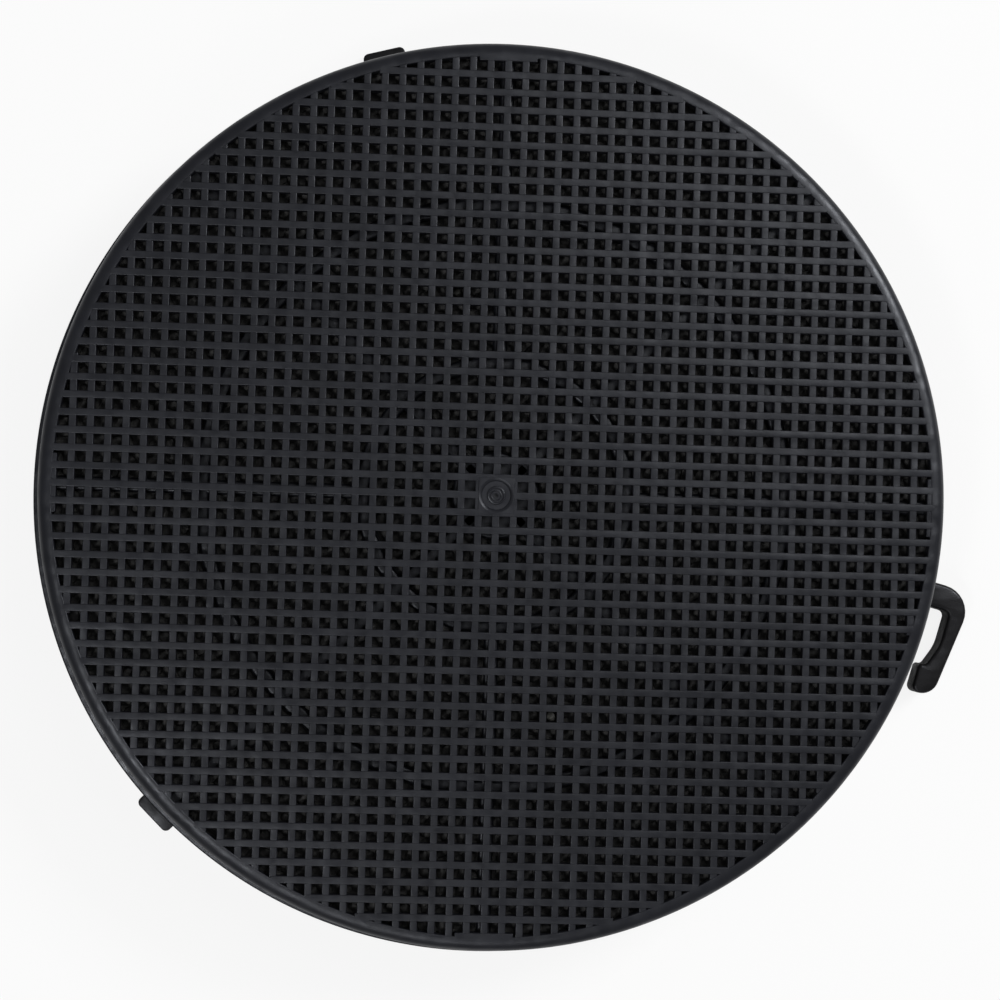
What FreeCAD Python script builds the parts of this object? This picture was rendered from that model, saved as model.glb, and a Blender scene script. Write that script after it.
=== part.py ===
import FreeCAD, Part
import math
import os
import Sketcher

# Round twist-on carbon filter for a cooker hood, in millimetres.
# +Z points out of the grille face, z = 0 is the back, the axis of the disc is the Z axis.
# +X runs along the rows of the grille.
# The casing is a deep moulding that opens backwards, its lid closes the back,
# and carbon granules fill the compartments between them.

doc = FreeCAD.newDocument("carbon_filter")

SIZES = [
    ("overall_height", 37.0, "back of the flange to the grille face"),
    ("face_radius", 116.5, "outer radius of the grille face"),
    ("edge_round", 2.6, "rounding between the face and the side wall"),
    ("rim_width", 3.8, "plain rim round the lattice"),
    ("hole_pitch", 4.5, "distance between neighbouring holes"),
    ("bar_width", 1.9, "width of every lattice bar"),
    ("row_depth", 0.5, "how far the rows stand proud of the columns"),
    ("column_depth", 2.5, "depth of the columns"),
    ("wall_thick", 2.2, "side wall"),
    ("wall_flare", 2.9, "how much wider the wall is at its foot than at the face"),
    ("flange_width", 3.1, "flange beyond the foot of the wall"),
    ("flange_thick", 3.0, "flange"),
    ("divider_width", 3.8, "dividing walls between the compartments"),
    ("inner_ring_radius", 34.0, "middle of the inner ring wall"),
    ("outer_ring_radius", 75.0, "middle of the outer ring wall"),
    ("hub_radius", 11.3, "solid hub at the centre"),
    ("gate_radius", 4.15, "round recess of the moulding gate"),
    ("gate_depth", 0.35, "depth of that recess"),
    ("lid_clearance", 0.4, "gap round the lid at the back"),
    ("lug_reach", 2.7, "lugs beyond the flange"),
    ("lug_width", 11.5, "lugs along the flange"),
    ("lug_thick", 2.0, "lugs"),
    ("lug_corner", 1.5, "rounded corners of the lugs"),
    ("lug_angle", 105.0, "direction of the first lug, the others follow at 120 degrees"),
    ("hook_gap", 6.2, "finger gap between flange and hook"),
    ("hook_width", 5.5, "width of the hook's arm where it starts"),
    ("hook_height", 8.0, "height of the hook"),
    ("hook_root_width", 6.7, "width of the hook where it leaves the flange"),
    ("hook_start", 12.8, "side of the hook where it leaves the flange"),
    ("hook_end", 17.3, "free end of the hook, on the other side of its middle"),
    ("hook_nose_length", 7.9, "nose at the free end"),
    ("hook_nose_tip", 1.7, "width of the nose's inner end"),
    ("hook_nose_gap", 2.1, "gap between the flange and the nose"),
    ("hook_lean", 3.6, "how much the arm's outer side leans in towards its free end"),
    ("fill_clearance", 0.4, "gap between granules and the walls round them"),
    ("fill_headroom", 2.0, "space that the settled granules leave under the grille"),
]

DERIVED = [
    ("window_radius", "=face_radius - rim_width"),
    ("wall_foot_radius", "=face_radius + wall_flare"),
    ("flange_radius", "=wall_foot_radius + flange_width"),
    ("lattice_depth", "=row_depth + column_depth"),
    ("cavity_top", "=overall_height - lattice_depth"),
    ("cavity_top_radius", "=face_radius - wall_thick"),
    ("cavity_foot_radius", "=wall_foot_radius - wall_thick"),
    ("lid_radius", "=cavity_foot_radius - lid_clearance"),
    ("fill_top", "=cavity_top - fill_headroom"),
]


def make_sheet():
    """The driving sizes and what is worked out from them, one row each."""
    sheet = doc.addObject("Spreadsheet::Sheet", "sizes")
    row = 1
    for alias, value, note in SIZES:
        sheet.set("A%d" % row, alias)
        sheet.set("B%d" % row, str(value))
        sheet.set("C%d" % row, note)
        sheet.setAlias("B%d" % row, alias)
        row += 1
    for alias, formula in DERIVED:
        sheet.set("A%d" % row, alias)
        sheet.set("B%d" % row, formula)
        sheet.setAlias("B%d" % row, alias)
        row += 1
    doc.recompute()
    return sheet


sheet = make_sheet()


def bound(expression):
    """The expression with each alias read from the sheet."""
    names = [alias for alias, *_ in SIZES + DERIVED]
    words = expression.replace("(", " ( ").replace(")", " ) ").split()
    return " ".join("sizes." + word if word in names else word for word in words)


def size(expression):
    """The present value of an expression in the sheet's aliases."""
    return float(sheet.evalExpression(expression))


def bind(item, path, expression):
    """Tie one property of an object to the sheet."""
    item.setExpression(path, bound(expression))


def new_body(name):
    return doc.addObject("PartDesign::Body", name)


def origin_part(body, role):
    """One of the body's own origin planes or axes."""
    return next(part for part in body.Origin.OriginFeatures if part.Role == role)


def new_sketch(body, name, plane="XY_Plane", level=None, angle=0.0):
    """A sketch on an origin plane, lifted to a level and turned about Z."""
    sketch = body.newObject("Sketcher::SketchObject", name)
    sketch.AttachmentSupport = [(origin_part(body, plane), "")]
    sketch.MapMode = "FlatFace"
    turn = FreeCAD.Rotation(FreeCAD.Vector(0, 0, 1), angle)
    sketch.AttachmentOffset = FreeCAD.Placement(FreeCAD.Vector(0, 0, 0), turn)
    if level is not None:
        bind(sketch, "AttachmentOffset.Base.z", level)
    return sketch


def place_point(sketch, line, across, up):
    """Dimension the start of a line from the sketch's origin, zero meaning on the axis."""
    for kind, expression, axis in (("DistanceX", across, -2), ("DistanceY", up, -1)):
        value = size(expression)
        if expression == "0":
            sketch.addConstraint(Sketcher.Constraint("PointOnObject", line, 1, axis))
            continue
        if value < 0:
            index = sketch.addConstraint(Sketcher.Constraint(kind, line, 1, -1, 1, -value))
            bind(sketch, "Constraints[%d]" % index, "0 - ( %s )" % expression)
        else:
            index = sketch.addConstraint(Sketcher.Constraint(kind, -1, 1, line, 1, value))
            bind(sketch, "Constraints[%d]" % index, expression)


def draw_outline(sketch, corners):
    """A closed outline of straight lines through corners given as pairs of expressions."""
    points = [FreeCAD.Vector(size(across), size(up), 0) for across, up in corners]
    first = len(sketch.Geometry)
    for start, end in zip(points, points[1:] + points[:1]):
        sketch.addGeometry(Part.LineSegment(start, end), False)
    count = len(points)
    for step in range(count):
        here = first + step
        after = first + (step + 1) % count
        sketch.addConstraint(Sketcher.Constraint("Coincident", here, 2, after, 1))
    for step, (across, up) in enumerate(corners):
        place_point(sketch, first + step, across, up)


def draw_circle(sketch, radius):
    """A circle round the sketch's origin."""
    circle = Part.Circle(FreeCAD.Vector(0, 0, 0), FreeCAD.Vector(0, 0, 1), size(radius))
    geometry = sketch.addGeometry(circle, False)
    sketch.addConstraint(Sketcher.Constraint("Coincident", geometry, 3, -1, 1))
    index = sketch.addConstraint(Sketcher.Constraint("Radius", geometry, size(radius)))
    bind(sketch, "Constraints[%d]" % index, radius)


def draw_block(sketch, length, width, offset="0"):
    """A rectangle with its length along X, centred on Y or moved along it."""
    half = "( %s ) / 2" % length
    low = "( %s ) - ( %s ) / 2" % (offset, width)
    high = "( %s ) + ( %s ) / 2" % (offset, width)
    back = "0 - " + half
    draw_outline(sketch, [(back, low), (half, low), (half, high), (back, high)])


def pad(body, sketch, length):
    """Raise a sketch by a length along its normal."""
    feature = body.newObject("PartDesign::Pad", sketch.Name + "_pad")
    feature.Profile = sketch
    feature.Type = 0
    bind(feature, "Length", length)
    doc.recompute()
    return feature


def pocket(body, sketch, length=None):
    """Cut a sketch downwards by a length, or both ways through everything."""
    before = body.Tip.Shape.Volume
    feature = body.newObject("PartDesign::Pocket", sketch.Name + "_pocket")
    feature.Profile = sketch
    if length is None:
        feature.Type = 1
        feature.Midplane = True
    else:
        feature.Type = 0
        bind(feature, "Length", length)
    doc.recompute()
    assert feature.Shape.Volume < before - 1e-6, sketch.Name + " cuts nothing"
    return feature


def revolve(body, sketch):
    """Turn a profile of the XZ plane about the Z axis."""
    feature = body.newObject("PartDesign::Revolution", sketch.Name + "_turn")
    feature.Profile = sketch
    feature.ReferenceAxis = (sketch, ["V_Axis"])
    feature.Angle = 360.0
    doc.recompute()
    return feature


def round_edges(body, chosen, radius):
    """Fillet those edges of the tip that the test picks."""
    base = body.Tip
    names = []
    for number, edge in enumerate(base.Shape.Edges, start=1):
        if chosen(edge):
            names.append("Edge%d" % number)
    assert names, body.Name + " has no edge to round"
    feature = body.newObject("PartDesign::Fillet", body.Name + "_fillet")
    feature.Base = (base, names)
    bind(feature, "Radius", radius)
    doc.recompute()
    return feature


def is_upright_at(edge, across, up):
    """Whether an edge is vertical and stands at that point."""
    box = edge.BoundBox
    slim = box.XLength < 1e-4 and box.YLength < 1e-4
    return slim and math.hypot(box.XMin - across, box.YMin - up) < 1e-3


def make_slots(name, angle, level, depth):
    """The gaps between parallel bars as cutters that follow the round window and spare the middle pad."""
    radius = size("window_radius")
    pitch = size("hole_pitch")
    half_gap = (pitch - size("bar_width")) / 2
    middle_pad = pitch
    floor_level = size(level)
    slots = []
    for step in range(int(radius / pitch) + 1):
        near = (step + 0.5) * pitch - half_gap
        far = near + 2 * half_gap
        if far >= radius:
            continue
        near_reach = math.sqrt(radius ** 2 - near ** 2)
        far_reach = math.sqrt(radius ** 2 - far ** 2)
        outline = [(near_reach, near), (far_reach, far), (-far_reach, far), (-near_reach, near)]
        outlines = [outline]
        if near < middle_pad:
            right = [(middle_pad, near), (near_reach, near), (far_reach, far), (middle_pad, far)]
            outlines = [right, [(-across, up) for across, up in right]]
        for corners in outlines:
            for side in (-1, 1):
                points = [FreeCAD.Vector(across, side * up, floor_level) for across, up in corners]
                face = Part.Face(Part.makePolygon(points + points[:1]))
                slots.append(face.extrude(FreeCAD.Vector(0, 0, size(depth))))
    feature = doc.addObject("Part::Feature", name)
    shape = Part.makeCompound(slots)
    shape.rotate(FreeCAD.Vector(0, 0, 0), FreeCAD.Vector(0, 0, 1), angle)
    feature.Shape = shape
    return feature


def make_disc(name, level, radius, height):
    """A flat disc."""
    body = new_body(name)
    outline = new_sketch(body, name + "_outline", level=level)
    draw_circle(outline, radius)
    pad(body, outline, height)
    return body


def turned(name, corners):
    """A body turned from a profile given as pairs of radius and level."""
    body = new_body(name)
    profile = new_sketch(body, name + "_profile", plane="XZ_Plane")
    draw_outline(profile, corners)
    revolve(body, profile)
    return body


def combine(kind, name, items):
    """Several shapes fused, or what they share, with the seams in flat faces taken out."""
    feature = doc.addObject(kind, name)
    feature.Shapes = items
    feature.Refine = True
    doc.recompute()
    return feature


def cut(name, base, tools):
    """One shape without several others that lie apart."""
    cutters = tools[0]
    if len(tools) > 1:
        cutters = doc.addObject("Part::Compound", name + "_cutters")
        cutters.Links = tools
    feature = doc.addObject("Part::Cut", name)
    feature.Base = base
    feature.Tool = cutters
    doc.recompute()
    return feature


def piece(label, items):
    """A finished moulding or charge as one object with its own label and place."""
    feature = doc.addObject("Part::Compound", label)
    feature.Links = items
    feature.Label = label
    feature.Placement = FreeCAD.Placement()
    doc.recompute()
    return feature


# Casing, outer shell

def make_shell():
    """Face plate, rounded edge, flared wall and flange."""
    corners = [("0", "overall_height")]
    for degrees in (0, 45, 90):
        in_by = round(1 - math.sin(math.radians(degrees)), 4)
        down_by = round(1 - math.cos(math.radians(degrees)), 4)
        corners.append(("face_radius - edge_round * %s" % in_by,
                        "overall_height - edge_round * %s" % down_by))
    corners += [
        ("wall_foot_radius", "flange_thick"),
        ("flange_radius", "flange_thick"),
        ("flange_radius", "0"),
        ("cavity_foot_radius", "0"),
        ("cavity_top_radius", "overall_height - row_depth"),
        ("0", "overall_height - row_depth"),
    ]
    return turned("shell", corners)


def make_lug(name, angle):
    """A bayonet lug on the flange, with rounded outer corners."""
    body = new_body(name)
    outline = new_sketch(body, name + "_outline", angle=angle)
    root = "flange_radius - flange_width / 2"
    tip = "flange_radius + lug_reach"
    half = "lug_width / 2"
    draw_outline(outline, [(root, "0 - " + half), (tip, "0 - " + half), (tip, half), (root, half)])
    pad(body, outline, "lug_thick")
    turn = FreeCAD.Rotation(FreeCAD.Vector(0, 0, 1), angle)
    corners = [turn.multVec(FreeCAD.Vector(size(tip), side * size(half), 0)) for side in (-1, 1)]
    round_edges(body, lambda edge: any(is_upright_at(edge, spot.x, spot.y) for spot in corners),
                "lug_corner")
    return body


def make_hook(name, angle):
    """The turning hook: a root, an arm along the flange and a nose that points back at it."""
    body = new_body(name)
    outline = new_sketch(body, name + "_outline", angle=angle)
    root = "wall_foot_radius - wall_thick / 2"
    inner = "flange_radius + hook_gap"
    outer = "flange_radius + hook_gap + hook_width"
    nose = "flange_radius + hook_nose_gap"
    nose_back = "flange_radius + hook_nose_gap + hook_nose_tip"
    arm_end = "flange_radius + hook_gap + hook_width - hook_lean"
    root_side = "hook_start - hook_root_width"
    nose_side = "0 - ( hook_end - hook_nose_length )"
    bend_side = "0 - ( hook_end - 1.75 * hook_nose_length )"
    free_side = "0 - hook_end"
    draw_outline(outline, [
        (root, root_side),
        (inner, root_side),
        (inner, bend_side),
        (nose_back, nose_side),
        (nose, nose_side),
        (nose, free_side),
        (arm_end, free_side),
        (outer, "hook_start"),
        (root, "hook_start"),
    ])
    pad(body, outline, "hook_height")
    turn = FreeCAD.Rotation(FreeCAD.Vector(0, 0, 1), angle)

    def corner_test(across, up):
        spot = turn.multVec(FreeCAD.Vector(size(across), size(up), 0))
        return lambda edge: is_upright_at(edge, spot.x, spot.y)

    round_edges(body, corner_test(outer, "hook_start"), "1.3 * hook_width")
    round_edges(body, corner_test(arm_end, free_side), "1.1 * hook_width")
    round_edges(body, corner_test(nose, free_side), "hook_nose_length / 3")
    round_edges(body, corner_test(inner, root_side), "hook_gap / 4")
    round_edges(body, corner_test(inner, bend_side), "2 * hook_gap")
    return body


# Dividing walls

def make_walls(name, width):
    """Hub, two ring walls, two diagonals and four walls from the inner ring outwards."""
    body = new_body(name)
    height = "cavity_top - lattice_depth"

    def add_straight(angle):
        plan = new_sketch(body, "%s_at_%d" % (name, angle), level="lattice_depth", angle=angle)
        draw_block(plan, "2 * wall_foot_radius", width)
        pad(body, plan, height)

    for angle in (0, 90):
        add_straight(angle)
    middle = new_sketch(body, name + "_middle", level="cavity_top")
    draw_circle(middle, "inner_ring_radius")
    pocket(body, middle)
    for angle in (45, 135):
        add_straight(angle)
    for radius in ("inner_ring_radius", "outer_ring_radius"):
        ring = new_sketch(body, name + "_" + radius, level="lattice_depth")
        draw_circle(ring, "%s - ( %s ) / 2" % (radius, width))
        draw_circle(ring, "%s + ( %s ) / 2" % (radius, width))
        pad(body, ring, height)
    hub = new_sketch(body, name + "_hub", level="lattice_depth")
    draw_circle(hub, "hub_radius + ( %s - divider_width ) / 2" % width)
    pad(body, hub, height)
    return body


# The casing's outer solid: shell, lugs, hook, dividing walls and the rows of the grille

lugs = [make_lug("lug_%d" % step, size("lug_angle") + 120.0 * step) for step in range(2)]
hook = make_hook("hook", size("lug_angle") + 240.0)
wall_middle = turned("wall_middle", [
    ("0", "lattice_depth"),
    ("wall_foot_radius - wall_thick / 2", "lattice_depth"),
    ("face_radius - wall_thick / 2", "overall_height - row_depth"),
    ("0", "overall_height - row_depth"),
])
walls = make_walls("walls", "divider_width")
dividers = combine("Part::MultiCommon", "dividers", [walls, wall_middle])
shell = combine("Part::MultiFuse", "shell_with_lugs", [make_shell(), *lugs, hook, dividers])
row_gaps = make_slots("row_gaps", 0.0, "overall_height - 2 * row_depth", "3 * row_depth")
gate = make_disc("gate", "overall_height - gate_depth", "gate_radius", "2 * gate_depth")
casing_front = cut("casing_front", shell, [row_gaps, gate])

# The casing's inner solid: the columns of the grille

column_plate = make_disc("column_plate", "cavity_top", "cavity_top_radius", "column_depth")
column_gaps = make_slots("column_gaps", 90.0, "cavity_top - column_depth", "3 * column_depth")
columns = cut("columns", column_plate, [column_gaps])
casing = piece("casing", [casing_front, columns])

# The lid: long bars across the back

lid_plate = make_disc("lid_plate", "0", "lid_radius", "lattice_depth")
lid_gaps = make_slots("lid_gaps", 0.0, "0 - lattice_depth", "3 * lattice_depth")
back_lid = piece("back_lid", [cut("lid_bars", lid_plate, [lid_gaps])])

# Granules, one charge in each compartment

fill_zone = turned("fill_zone", [
    ("0", "lattice_depth"),
    ("cavity_foot_radius - fill_clearance", "lattice_depth"),
    ("cavity_top_radius - fill_clearance", "fill_top"),
    ("0", "fill_top"),
])
walls_with_clearance = make_walls("walls_with_clearance", "divider_width + 2 * fill_clearance")
granules = piece("granules", [cut("charges", fill_zone, [walls_with_clearance])])

pieces = [casing, back_lid, granules]

doc.recompute()
for item in doc.Objects:
    failed = [word for word in item.State if word in ("Invalid", "Error")]
    assert not failed, "%s failed: %s" % (item.Name, item.State)
for item in pieces:
    assert not item.Shape.isNull(), item.Label + " is empty"
    assert item.Shape.isValid(), item.Label + " is not valid"
    assert item.Shape.Solids, item.Label + " holds no solid"

os.makedirs("parts", exist_ok=True)
for item in pieces:
    item.Shape.exportStep("parts/%s.step" % item.Label)
    print(item.Label, len(item.Shape.Solids), "solids", round(item.Shape.Volume / 1000, 1), "cm3")
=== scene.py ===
import math
import random

import bpy
from mathutils import Euler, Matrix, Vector


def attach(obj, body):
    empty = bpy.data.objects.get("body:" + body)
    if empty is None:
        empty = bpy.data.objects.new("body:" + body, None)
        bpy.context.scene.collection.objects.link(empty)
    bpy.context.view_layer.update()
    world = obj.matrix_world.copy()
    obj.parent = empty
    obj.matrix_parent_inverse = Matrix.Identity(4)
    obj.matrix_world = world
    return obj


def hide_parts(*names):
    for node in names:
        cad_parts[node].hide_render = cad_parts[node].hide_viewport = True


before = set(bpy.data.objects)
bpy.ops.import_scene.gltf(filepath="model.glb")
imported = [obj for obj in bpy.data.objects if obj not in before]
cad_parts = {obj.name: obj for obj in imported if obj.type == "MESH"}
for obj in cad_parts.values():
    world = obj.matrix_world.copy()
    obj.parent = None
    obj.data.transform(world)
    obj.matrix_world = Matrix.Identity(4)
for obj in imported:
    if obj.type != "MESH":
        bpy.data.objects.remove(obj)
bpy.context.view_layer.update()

# Cooker hood carbon filter: a black plastic casing with a grille of crossed bars, full of carbon
# granules. The grille faces +Z, its rows run along X, and the back lies at z = 0. Every length is in
# metres.

MM = 0.001

# Sizes that the solids have too

HEIGHT = 37.0 * MM
FACE_RADIUS = 116.5 * MM
EDGE_ROUND = 2.6 * MM
RIM_WIDTH = 3.8 * MM
WINDOW_RADIUS = FACE_RADIUS - RIM_WIDTH
WALL = 2.2 * MM
WALL_FOOT_RADIUS = FACE_RADIUS + 2.9 * MM
FLANGE = 3.0 * MM
PITCH = 4.5 * MM
BAR = 1.9 * MM
LATTICE = 3.0 * MM
LATTICE_BACK = HEIGHT - LATTICE
DIVIDER = 3.8 * MM
INNER_RING = 34.0 * MM
OUTER_RING = 75.0 * MM
HUB = 11.3 * MM
GATE_RADIUS = 4.15 * MM
LUG_ANGLE = math.radians(105.0)
THIRD_TURN = math.radians(120.0)
LUG_REACH = 2.7 * MM
LUG_WIDTH = 11.5 * MM
LUG_THICK = 2.0 * MM
LUG_CORNER = 1.5 * MM
HOOK_HEIGHT = 8.0 * MM
FILL_TOP = 32.0 * MM
LID_RADIUS = WALL_FOOT_RADIUS - WALL - 0.4 * MM

# Sizes of the looks alone. Tops and flange end just inside the solids.

ROW_TOP = HEIGHT - 0.05 * MM
COLUMN_TOP = HEIGHT - 0.19 * MM
RIM_TOP = HEIGHT - 0.06 * MM
CROWN_START = 113.1 * MM
FLANGE_RADIUS = WALL_FOOT_RADIUS + 3.07 * MM
BAR_ROUND = 0.25 * MM
BAR_OVERLAP = 0.8 * MM
PAD_HALF = 4.60 * MM
PAD_ROUND = 0.15 * MM
GATE_DEPTH = 0.6 * MM
GATE_LIP = 0.3 * MM
GATE_HOLE_RADIUS = 0.6 * MM
GATE_RING_RADIUS = 2.1 * MM
GATE_RING_HALF = 0.30 * MM
GATE_DIMPLE_RADIUS = 1.25 * MM
GATE_DIMPLE_HALF = 0.22 * MM
GATE_SUNK = 0.1 * MM
DIVIDER_SHOULDER = 0.9 * MM
DIVIDER_FOOT = 0.45 * MM
LUG_EDGE = 0.3 * MM
HOOK_EDGE = 0.9 * MM
RIM_SEGMENTS = 256
DIVIDER_SEGMENTS = 128
GATE_SEGMENTS = 64
GATE_RING_SEGMENTS = 48

EIGHTH_TURN = math.radians(45.0)
BEVEL_ANGLE = math.radians(30.0)
SMOOTH_ANGLE = math.radians(40.0)
BAR_SMOOTH_ANGLE = math.radians(50.0)


# Modelling helpers

def deselect():
    if bpy.context.mode != "OBJECT":
        bpy.ops.object.mode_set(mode="OBJECT")
    bpy.ops.object.select_all(action="DESELECT")


def take(piece):
    """Make one object the only selected one."""
    deselect()
    piece.select_set(True)
    bpy.context.view_layer.objects.active = piece


def settle(piece, name):
    """Give a piece its name and move its place into its mesh."""
    take(piece)
    piece.name = name
    piece.data.name = name
    bpy.ops.object.transform_apply(location=True, rotation=True, scale=True)
    return piece


def join(pieces, name):
    deselect()
    for piece in pieces:
        piece.select_set(True)
    bpy.context.view_layer.objects.active = pieces[0]
    bpy.ops.object.join()
    return settle(bpy.context.object, name)


def block(low, high, turn=0.0):
    """A block between two corners, turned about the filter's axis."""
    deselect()
    middle = Vector([(a + b) / 2 for a, b in zip(low, high)])
    middle.rotate(Euler((0, 0, turn)))
    size = [b - a for a, b in zip(low, high)]
    bpy.ops.mesh.primitive_cube_add(size=1.0, location=middle, rotation=(0, 0, turn), scale=size)
    return bpy.context.object


def apply_bevel(piece, width, segments, sharp=BEVEL_ANGLE):
    """Round every edge that turns by more than a given angle."""
    take(piece)
    bevel = piece.modifiers.new("rounding", "BEVEL")
    bevel.width = width
    bevel.segments = segments
    bevel.limit_method = "ANGLE"
    bevel.angle_limit = sharp
    bpy.ops.object.modifier_apply(modifier=bevel.name)


def flatten_shading(piece):
    """Smooth shading whose normals follow the large faces, so that only the rounded edges turn."""
    take(piece)
    bpy.ops.object.shade_smooth_by_angle(angle=BAR_SMOOTH_ANGLE)
    weights = piece.modifiers.new("weights", "WEIGHTED_NORMAL")
    weights.weight = 100
    weights.keep_sharp = True
    bpy.ops.object.modifier_apply(modifier=weights.name)


def soften(piece, width, segments=2):
    """Round every sharp edge, and keep the large faces flat to the eye."""
    apply_bevel(piece, width, segments)
    flatten_shading(piece)


def close_mesh(weld):
    """Weld the active piece's double points and turn its faces outward. Leaves it in edit mode."""
    bpy.ops.mesh.select_all(action="SELECT")
    bpy.ops.mesh.remove_doubles(threshold=weld)
    bpy.ops.mesh.normals_make_consistent(inside=False)


def ring(name, profile, segments=RIM_SEGMENTS):
    """A closed ring, extruded round by round through a profile of radius and height."""
    deselect()
    radius, height = profile[0]
    bpy.ops.mesh.primitive_circle_add(vertices=segments, radius=radius, location=(0, 0, height))
    piece = bpy.context.object
    bpy.ops.object.mode_set(mode="EDIT")
    bpy.ops.mesh.select_all(action="SELECT")
    for next_radius, next_height in profile[1:] + profile[:1]:
        bpy.ops.mesh.extrude_edges_indiv()
        factor = next_radius / radius
        bpy.ops.transform.resize(value=(factor, factor, 1.0))
        bpy.ops.transform.translate(value=(0, 0, next_height - height))
        radius, height = next_radius, next_height
    close_mesh(0.02 * MM)
    settle(piece, name)
    bpy.ops.object.shade_smooth_by_angle(angle=SMOOTH_ANGLE)
    return piece


def arc(centre_radius, centre_height, radius, start, end, steps):
    """Points of a rounded corner in a profile, angles in degrees from the radius direction."""
    points = []
    for step in range(steps + 1):
        turn = math.radians(start + (end - start) * step / steps)
        points.append((centre_radius + radius * math.cos(turn),
                       centre_height + radius * math.sin(turn)))
    return points


def round_corners(points, corners):
    """Place two points at each corner of a closed outline, with the corner's arc between them."""
    for step, (x, y, radius) in enumerate(corners):
        here = Vector((x, y, 0))
        before = Vector((*corners[step - 1][:2], 0)) - here
        after = Vector((*corners[(step + 1) % len(corners)][:2], 0)) - here
        angle = before.angle(after)
        reach = radius / math.tan(angle / 2)
        handle = reach - radius * 4 / 3 * math.tan((math.pi - angle) / 4)
        first, second = points[2 * step], points[2 * step + 1]
        for point, side in ((first, before), (second, after)):
            point.handle_left_type = "FREE"
            point.handle_right_type = "FREE"
            point.co = here + side.normalized() * reach
        first.handle_right = here + before.normalized() * handle
        second.handle_left = here + after.normalized() * handle
    for step in range(len(corners)):
        second = points[2 * step + 1]
        following = points[(2 * step + 2) % len(points)]
        second.handle_right = second.co.lerp(following.co, 1 / 3)
        following.handle_left = following.co.lerp(second.co, 1 / 3)


def flat_moulding(name, corners, height, edge, turn):
    """A flat part on z = 0 with rounded edges, each corner given as x, y and its radius."""
    deselect()
    bpy.ops.curve.primitive_bezier_circle_add(radius=1.0, location=(0, 0, height / 2),
                                              rotation=(0, 0, turn))
    piece = bpy.context.object
    curve = piece.data
    curve.dimensions = "2D"
    curve.fill_mode = "BOTH"
    curve.resolution_u = 8
    curve.extrude = height / 2 - edge
    curve.bevel_depth = edge
    curve.bevel_resolution = 2
    curve.offset = -edge
    points = curve.splines[0].bezier_points
    points.add(2 * len(corners) - len(points))
    round_corners(curve.splines[0].bezier_points, corners)
    bpy.ops.object.convert(target="MESH")
    settle(piece, name)
    bpy.ops.object.mode_set(mode="EDIT")
    close_mesh(0.005 * MM)
    bpy.ops.object.mode_set(mode="OBJECT")
    bpy.ops.object.shade_smooth_by_angle(angle=SMOOTH_ANGLE)
    return piece


# Materials

def new_material(name):
    """A node material with its nodes, links and shader."""
    material = bpy.data.materials.new(name)
    material.use_nodes = True
    nodes = material.node_tree.nodes
    return material, nodes, material.node_tree.links, nodes["Principled BSDF"]


def black_plastic(name, dark, light, shine):
    """Satin black moulded plastic: fine grain, slow waves along the flow, uneven gloss."""
    material, nodes, links, shader = new_material(name)
    place = nodes.new("ShaderNodeTexCoord")

    def noise(scale, detail, stretch=None):
        texture = nodes.new("ShaderNodeTexNoise")
        texture.inputs["Scale"].default_value = scale
        texture.inputs["Detail"].default_value = detail
        source = place.outputs["Object"]
        if stretch:
            mapping = nodes.new("ShaderNodeMapping")
            mapping.inputs["Scale"].default_value = stretch
            links.new(source, mapping.inputs["Vector"])
            source = mapping.outputs["Vector"]
        links.new(source, texture.inputs["Vector"])
        return texture.outputs["Fac"]

    def relief(height, distance, below=None):
        bump = nodes.new("ShaderNodeBump")
        bump.inputs["Strength"].default_value = 1.0
        bump.inputs["Distance"].default_value = distance
        links.new(height, bump.inputs["Height"])
        if below:
            links.new(below, bump.inputs["Normal"])
        return bump.outputs["Normal"]

    tint = nodes.new("ShaderNodeValToRGB")
    tint.color_ramp.elements[0].position = 0.3
    tint.color_ramp.elements[0].color = dark
    tint.color_ramp.elements[1].position = 0.75
    tint.color_ramp.elements[1].color = light
    links.new(noise(90.0, 6.0), tint.inputs["Fac"])
    links.new(tint.outputs["Color"], shader.inputs["Base Color"])

    gloss = nodes.new("ShaderNodeMapRange")
    gloss.inputs["From Min"].default_value = 0.3
    gloss.inputs["From Max"].default_value = 0.7
    gloss.inputs["To Min"].default_value = 0.28
    gloss.inputs["To Max"].default_value = 0.44
    links.new(noise(320.0, 3.0), gloss.inputs["Value"])
    links.new(gloss.outputs["Result"], shader.inputs["Roughness"])

    waves = relief(noise(180.0, 1.0), 0.25 * MM)
    flow = relief(noise(240.0, 1.0, (0.05, 1.0, 0.3)), 0.25 * MM, waves)
    grain = relief(noise(2600.0, 4.0), 0.03 * MM, flow)
    links.new(grain, shader.inputs["Normal"])

    shader.inputs["Specular IOR Level"].default_value = shine
    shader.inputs["Specular Tint"].default_value = (0.90, 0.93, 1.0, 1.0)
    return material


def carbon(name, dark, light):
    """Dull granules between two grey levels, with pitted surfaces."""
    material, nodes, links, shader = new_material(name)
    place = nodes.new("ShaderNodeTexCoord")
    cells = nodes.new("ShaderNodeTexVoronoi")
    cells.inputs["Scale"].default_value = 900.0
    links.new(place.outputs["Object"], cells.inputs["Vector"])

    tint = nodes.new("ShaderNodeValToRGB")
    tint.color_ramp.elements[0].color = light
    tint.color_ramp.elements[1].color = dark
    links.new(cells.outputs["Distance"], tint.inputs["Fac"])
    links.new(tint.outputs["Color"], shader.inputs["Base Color"])

    bump = nodes.new("ShaderNodeBump")
    bump.invert = True
    bump.inputs["Strength"].default_value = 1.0
    bump.inputs["Distance"].default_value = 0.25 * MM
    links.new(cells.outputs["Distance"], bump.inputs["Height"])
    links.new(bump.outputs["Normal"], shader.inputs["Normal"])
    shader.inputs["Roughness"].default_value = 0.75
    return material


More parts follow.
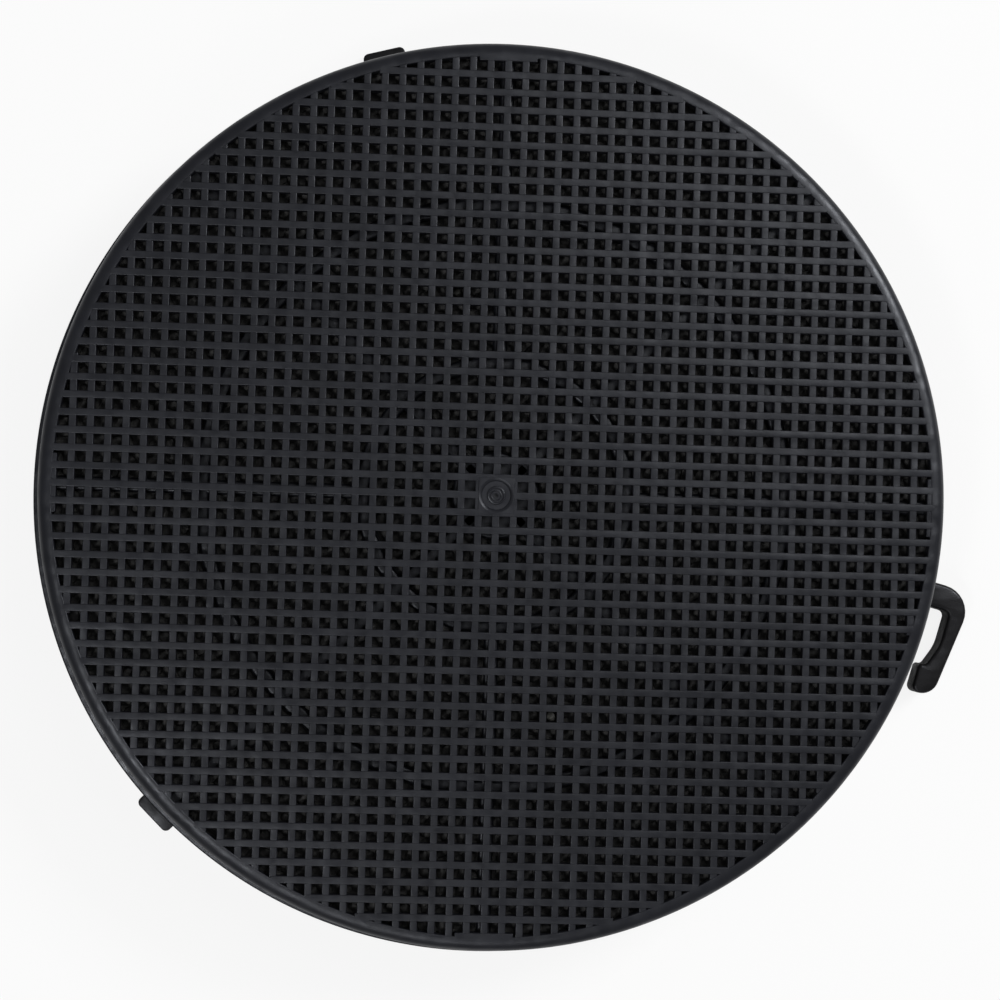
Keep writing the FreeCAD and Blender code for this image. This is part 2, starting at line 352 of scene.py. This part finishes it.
PLASTIC = black_plastic("satin_black_plastic",
                        (0.0072, 0.0076, 0.0099, 1.0), (0.0118, 0.0124, 0.0161, 1.0), 0.40)
# The same satin plastic made darker and less glossy: painted shade for the low hook and lugs, not a
# different or worn finish.
SHADED_PLASTIC = black_plastic("shaded_black_plastic",
                             (0.0052, 0.0049, 0.0052, 1.0), (0.0088, 0.0082, 0.0086, 1.0), 0.24)
CARBON = carbon("carbon_granules", (0.030, 0.030, 0.030, 1.0), (0.090, 0.089, 0.088, 1.0))
DUSTY = carbon("dusty_granules", (0.010, 0.010, 0.009, 1.0), (0.036, 0.036, 0.031, 1.0))


def dress(piece, material):
    piece.data.materials.clear()
    piece.data.materials.append(material)
    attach(piece, "root")


# Casing: rim, wall and flange

def casing_shell():
    """The rim with its elliptical crown, the flared wall and the flange, as one ring."""
    crown = FACE_RADIUS - CROWN_START
    crown_steps = 16
    profile = arc(WINDOW_RADIUS + BAR_ROUND, RIM_TOP - BAR_ROUND, BAR_ROUND, 180, 90, 3)
    for step in range(crown_steps + 1):
        turn = math.radians(90 - 90 * step / crown_steps)
        profile.append((CROWN_START + crown * math.cos(turn),
                        RIM_TOP - EDGE_ROUND + EDGE_ROUND * math.sin(turn)))
    profile += [
        (WALL_FOOT_RADIUS - 0.6 * MM, FLANGE + 6 * MM),
        (WALL_FOOT_RADIUS, FLANGE),
    ]
    profile += arc(FLANGE_RADIUS - 0.5 * MM, FLANGE - 0.5 * MM, 0.5 * MM, 90, 0, 3)
    profile += arc(FLANGE_RADIUS - 0.4 * MM, 0.4 * MM, 0.4 * MM, 0, -90, 3)
    profile += [
        (WALL_FOOT_RADIUS - WALL, 0.0),
        (FACE_RADIUS - WALL, LATTICE_BACK),
        (WINDOW_RADIUS, LATTICE_BACK),
    ]
    return ring("casing_shell", profile)


# Grille: two crossed layers of bars, and a pad with the gate mark in the middle

def sink_gate(piece, radius, depth):
    """Cut a round recess in the middle of the face."""
    deselect()
    bpy.ops.mesh.primitive_cylinder_add(vertices=GATE_SEGMENTS, radius=radius, depth=2 * depth,
                                        location=(0, 0, HEIGHT))
    cutter = bpy.context.object
    take(piece)
    recess = piece.modifiers.new("recess", "BOOLEAN")
    recess.operation = "DIFFERENCE"
    recess.object = cutter
    bpy.ops.object.modifier_apply(modifier=recess.name)
    bpy.data.objects.remove(cutter)
    flatten_shading(piece)


def bar_layer(name, low, high, along_x, spared=0.0):
    """Parallel bars across the round window, the middle one interrupted where the pad lies."""
    bars = []
    count = int(WINDOW_RADIUS / PITCH)
    for step in range(-count, count + 1):
        middle = step * PITCH
        reach = math.sqrt(WINDOW_RADIUS ** 2 - middle ** 2) + BAR_OVERLAP
        spans = [(-reach, reach)]
        if spared and step == 0:
            spans = [(-reach, -spared + BAR_OVERLAP), (spared - BAR_OVERLAP, reach)]
        for start, end in spans:
            if along_x:
                bars.append(block((start, middle - BAR / 2, low), (end, middle + BAR / 2, high)))
            else:
                bars.append(block((middle - BAR / 2, start, low), (middle + BAR / 2, end, high)))
    layer = join(bars, name)
    soften(layer, BAR_ROUND)
    if spared:
        sink_gate(layer, GATE_RADIUS + GATE_LIP, GATE_DEPTH + 0.15 * MM)
    return layer


def gate_pad():
    """The plain square in the middle with the moulding gate's round recess, rings and dimple."""
    pad = block((-PAD_HALF, -PAD_HALF, LATTICE_BACK), (PAD_HALF, PAD_HALF, HEIGHT - 0.005 * MM))
    settle(pad, "gate_pad")
    apply_bevel(pad, PAD_ROUND, 2)
    sink_gate(pad, GATE_RADIUS + GATE_LIP, GATE_DEPTH)
    sink_gate(pad, GATE_HOLE_RADIUS, 3 * GATE_DEPTH)
    floor = HEIGHT - GATE_DEPTH
    outer = GATE_RADIUS + GATE_LIP + 0.05 * MM
    lip = ring("gate_lip", [
        (outer, HEIGHT - 0.003 * MM),
        (GATE_RADIUS + 0.10 * MM, HEIGHT - 0.11 * MM),
        (GATE_RADIUS - 0.20 * MM, HEIGHT - 0.25 * MM),
        (GATE_RADIUS - 0.45 * MM, HEIGHT - 0.45 * MM),
        (GATE_RADIUS - 0.55 * MM, floor - GATE_SUNK),
        (outer, floor - GATE_SUNK),
    ], segments=GATE_SEGMENTS)
    parts = [pad, lip]
    for radius, half in ((GATE_RING_RADIUS, GATE_RING_HALF),
                         (GATE_DIMPLE_RADIUS, GATE_DIMPLE_HALF)):
        profile = [(radius + half, floor - GATE_SUNK)] + arc(radius, floor, half, 0, 180, 8)
        profile += [(radius - half, floor - GATE_SUNK)]
        parts.append(ring("gate_ring", profile, segments=GATE_RING_SEGMENTS))
    return join(parts, "gate_pad")


# Dividing walls behind the grille

def straight_walls(half, top):
    """Two full diagonals, and four walls from the inner ring outwards."""
    reach = FACE_RADIUS - WALL / 2
    walls = []
    for degrees in (0, 90, 180, 270):
        walls.append(block((INNER_RING, -half, LATTICE), (reach, half, top), math.radians(degrees)))
    for degrees in (45, 135):
        walls.append(block((-reach, -half, LATTICE), (reach, half, top), math.radians(degrees)))
    return join(walls, "straight_walls")


def hub(radius, top):
    deselect()
    bpy.ops.mesh.primitive_cylinder_add(vertices=64, radius=radius, depth=top - LATTICE,
                                        location=(0, 0, (LATTICE + top) / 2))
    return bpy.context.object


def dividing_walls():
    """Hub, rings and straight walls, with rounded tops and a foot that meets the granules."""
    top, half = LATTICE_BACK, DIVIDER / 2
    shoulder, foot, foot_top = DIVIDER_SHOULDER, DIVIDER_FOOT, FILL_TOP - 1.0 * MM
    straight = straight_walls(half, top)
    soften(straight, shoulder, segments=3)
    middle = hub(HUB, top)
    soften(middle, shoulder, segments=3)
    pieces = [straight, middle, straight_walls(half + foot, foot_top), hub(HUB + foot, foot_top)]
    for radius in (INNER_RING, OUTER_RING):
        inside, outside = radius - half, radius + half
        profile = [(inside - foot, LATTICE), (inside - foot, foot_top), (inside, foot_top)]
        profile += arc(inside + shoulder, top - shoulder, shoulder, 180, 90, 4)
        profile += arc(outside - shoulder, top - shoulder, shoulder, 90, 0, 4)
        profile += [(outside, foot_top), (outside + foot, foot_top), (outside + foot, LATTICE)]
        pieces.append(ring("ring_wall", profile, segments=DIVIDER_SEGMENTS))
    return join(pieces, "dividing_walls")


# Lugs and hook: outlines in x outwards and y sideways, turned to their places

def lug(name, angle):
    root = WALL_FOOT_RADIUS - WALL / 2
    tip = FLANGE_RADIUS + LUG_REACH
    half = LUG_WIDTH / 2
    corners = [(root, -half, 0), (tip, -half, LUG_CORNER), (tip, half, LUG_CORNER), (root, half, 0)]
    return flat_moulding(name, corners, LUG_THICK, LUG_EDGE, angle)


def turning_hook(name, angle):
    """The hook that a finger turns the filter by: root, arm and a nose back at the flange."""
    root = WALL_FOOT_RADIUS - WALL / 2
    inner, nose, nose_back = 128.7 * MM, 124.6 * MM, 126.5 * MM
    outer, arm_end = 134.2 * MM, 130.6 * MM
    root_side, bend = 6.1 * MM, -3.5 * MM
    start, end, nose_side = 12.8 * MM, -17.3 * MM, -9.4 * MM
    corners = [
        (root, root_side, 0),
        (inner, root_side, 1.6 * MM),
        (inner, bend, 12.0 * MM),
        (nose_back, nose_side, 1.2 * MM),
        (nose, nose_side, 1.0 * MM),
        (nose, end, 1.8 * MM),
        (arm_end, end, 4.6 * MM),
        (outer, start, 7.4 * MM),
        (root, start, 0),
    ]
    return flat_moulding(name, corners, HOOK_HEIGHT, HOOK_EDGE, angle)


shell = casing_shell()
rows = bar_layer("grille_rows", LATTICE_BACK, ROW_TOP, True, spared=PAD_HALF)
columns = bar_layer("grille_columns", LATTICE_BACK, COLUMN_TOP, False, spared=PAD_HALF)
for piece in (shell, rows, columns, gate_pad(), dividing_walls()):
    dress(piece, PLASTIC)
grips = [turning_hook("turning_hook", LUG_ANGLE + 2 * THIRD_TURN)]
grips += [lug("lug_%d" % step, LUG_ANGLE + step * THIRD_TURN) for step in range(2)]
# The hook and lugs take the darker copy of the plastic, which paints the shade they lie in.
for piece in grips:
    dress(piece, SHADED_PLASTIC)
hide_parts("casing")


# Lid: a rim ring with crossed bars

def lid_ring():
    edge = 0.4 * MM
    profile = arc(LID_RADIUS - edge, edge, edge, -90, 0, 3)
    profile += [(LID_RADIUS, LATTICE), (WINDOW_RADIUS, LATTICE), (WINDOW_RADIUS, 0.0)]
    return ring("lid_rim", profile)


lid_rows = bar_layer("lid_rows", 0.02 * MM, LATTICE, True)
lid_columns = bar_layer("lid_columns", HEIGHT - COLUMN_TOP, LATTICE, False)
lid = join([lid_ring(), lid_rows, lid_columns], "lid_lattice")
dress(lid, PLASTIC)
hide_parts("back_lid")


# Granules: pressed pellets on top of each charge, under the grille

PELLET_SEED = 7
PELLET_SPACING = 4.2 * MM
PELLET_ROW_STEP = 3.4 * MM
PELLET_RADII = (1.3, 1.6)
PELLET_LENGTHS = (3.6, 5.2)
PELLET_TILTS = (-0.12, 0.12)
PELLET_SHARP = math.radians(60.0)
LODGED_PLACES = ((3.5, -12.5, 1.6 * MM), (-2.5, 11.5, 3.6 * MM))


def pellet(place, radius, length, tilt, turn):
    """A short rod that lies nearly flat."""
    deselect()
    bpy.ops.mesh.primitive_cylinder_add(vertices=8, radius=radius, depth=length, location=place,
                                        rotation=(math.radians(90) + tilt, 0, turn))
    return bpy.context.object


def wear(piece, width, segments):
    """Round the ends of rods and smooth their sides."""
    apply_bevel(piece, width, segments, sharp=PELLET_SHARP)
    bpy.ops.object.shade_smooth()
    return piece


def pellet_sector(dice):
    """The pellets of one eighth of the disc, row by row between the ring walls."""
    pellets = []
    radius = HUB + 1.8 * MM
    while radius < FACE_RADIUS - WALL - 2.4 * MM:
        to_wall = min(abs(radius - INNER_RING), abs(radius - OUTER_RING))
        count = 0
        if to_wall >= DIVIDER / 2 + 0.9 * MM:
            count = int(EIGHTH_TURN * radius / PELLET_SPACING)
        for step in range(count):
            turn = EIGHTH_TURN * (step + dice.uniform(0.3, 0.7)) / count
            reach = radius + dice.uniform(-0.5, 0.5) * MM
            height = FILL_TOP - dice.uniform(0.1, 0.6) * MM
            place = (reach * math.cos(turn), reach * math.sin(turn), height)
            size = [dice.uniform(*limits) * MM for limits in (PELLET_RADII, PELLET_LENGTHS)]
            lean = [dice.uniform(*limits) for limits in (PELLET_TILTS, (0, math.pi))]
            pellets.append(pellet(place, *size, *lean))
        radius += PELLET_ROW_STEP
    return wear(join(pellets, "pellet_sector"), 0.45 * MM, 1)


def pellet_bed(name, source, first, count):
    """Copies of the sector side by side, as one piece."""
    copies = []
    for step in range(first, first + count):
        take(source)
        bpy.ops.object.duplicate(linked=False)
        copy = bpy.context.object
        copy.rotation_euler = (0, 0, EIGHTH_TURN * step)
        copies.append(copy)
    return join(copies, name)


def lodged_granules():
    """Single granules that stick in holes of the grille, placed by column, row and depth."""
    lodged = []
    for column, row, depth in LODGED_PLACES:
        place = (column * PITCH, row * PITCH, HEIGHT - depth)
        lodged.append(pellet(place, 1.1 * MM, 2.1 * MM, 0.9, 0.7))
    return wear(join(lodged, "lodged_granules"), 0.35 * MM, 2)


fill = bpy.data.objects["granules"].data.materials
fill.clear()
fill.append(CARBON)

sector = pellet_sector(random.Random(PELLET_SEED))
for half in range(2):
    dress(pellet_bed("pellets_%d" % half, sector, 4 * half, 4), CARBON)
bpy.data.objects.remove(sector)
dress(lodged_granules(), DUSTY)


# Stage: a pale floor, four lamps, the camera and a plain world

FLOOR_SIZE = 4.0
FLOOR_DROP = 0.5 * MM
FLOOR_GREY = (0.85, 0.85, 0.85, 1.0)
FLOOR_GLOW = 0.86
WORLD_STRENGTH = 0.20
WHITE_STRENGTH = 1.0
LAMPS = (
    ("key_light", (0.86, 0.57, 0.95), (0.4, 0.4), 10.5),
    ("low_light", (-0.46, -0.43, 1.09), (0.18, 0.18), 3.2),
    ("top_light", (0.42, 0.38, 1.22), (0.5, 0.5), 2.3),
    ("row_light", (-0.14, -0.80, 0.95), (0.3, 0.4), 1.6),
)
CAMERA_PLACE = (-30.1 * MM, -13.1 * MM, 594.4 * MM)
CAMERA_TURN = (1.1328, -3.2246, 1.6396)
CAMERA_LENS = 78.646
CAMERA_SENSOR = 36.0
CAMERA_NEAR = 10 * MM


def make_floor():
    """A floor that the camera sees nearly white, with a soft shadow."""
    deselect()
    bpy.ops.mesh.primitive_plane_add(size=FLOOR_SIZE, location=(0, 0, -FLOOR_DROP))
    floor = bpy.context.object
    floor.name = "floor"
    material, nodes, links, shader = new_material("pale_floor")
    shader.inputs["Base Color"].default_value = FLOOR_GREY
    shader.inputs["Roughness"].default_value = 0.9
    glow = nodes.new("ShaderNodeEmission")
    glow.inputs["Strength"].default_value = WHITE_STRENGTH
    paths = nodes.new("ShaderNodeLightPath")
    share = nodes.new("ShaderNodeMath")
    share.operation = "MULTIPLY"
    share.inputs[1].default_value = FLOOR_GLOW
    blend = nodes.new("ShaderNodeMixShader")
    links.new(paths.outputs["Is Camera Ray"], share.inputs[0])
    links.new(share.outputs["Value"], blend.inputs["Fac"])
    links.new(shader.outputs["BSDF"], blend.inputs[1])
    links.new(glow.outputs["Emission"], blend.inputs[2])
    links.new(blend.outputs["Shader"], nodes["Material Output"].inputs["Surface"])
    floor.data.materials.append(material)


def area_light(name, place, size, power):
    """A rectangular lamp that looks at the middle of the floor."""
    deselect()
    bpy.ops.object.light_add(type="AREA", location=place)
    lamp = bpy.context.object
    lamp.name = name
    lamp.data.shape = "RECTANGLE"
    lamp.data.size, lamp.data.size_y = size
    lamp.data.energy = power
    lamp.rotation_euler = (-Vector(place)).to_track_quat("-Z", "Y").to_euler()


def set_camera():
    deselect()
    turn = [math.radians(degrees) for degrees in CAMERA_TURN]
    bpy.ops.object.camera_add(location=CAMERA_PLACE, rotation=turn)
    camera = bpy.context.object
    camera.data.lens = CAMERA_LENS
    camera.data.sensor_width = CAMERA_SENSOR
    camera.data.clip_start = CAMERA_NEAR
    bpy.context.scene.camera = camera


def set_world():
    """A plain grey light all round that the camera sees as white."""
    world = bpy.data.worlds.new("studio")
    bpy.context.scene.world = world
    world.use_nodes = True
    nodes, links = world.node_tree.nodes, world.node_tree.links
    paths = nodes.new("ShaderNodeLightPath")
    seen = nodes.new("ShaderNodeMapRange")
    seen.inputs["To Min"].default_value = WORLD_STRENGTH
    seen.inputs["To Max"].default_value = WHITE_STRENGTH
    links.new(paths.outputs["Is Camera Ray"], seen.inputs["Value"])
    background = nodes["Background"]
    background.inputs["Color"].default_value = (1.0, 1.0, 1.0, 1.0)
    links.new(seen.outputs["Result"], background.inputs["Strength"])


make_floor()
for lamp_values in LAMPS:
    area_light(*lamp_values)
set_camera()
set_world()
bpy.context.scene.view_settings.view_transform = "Standard"
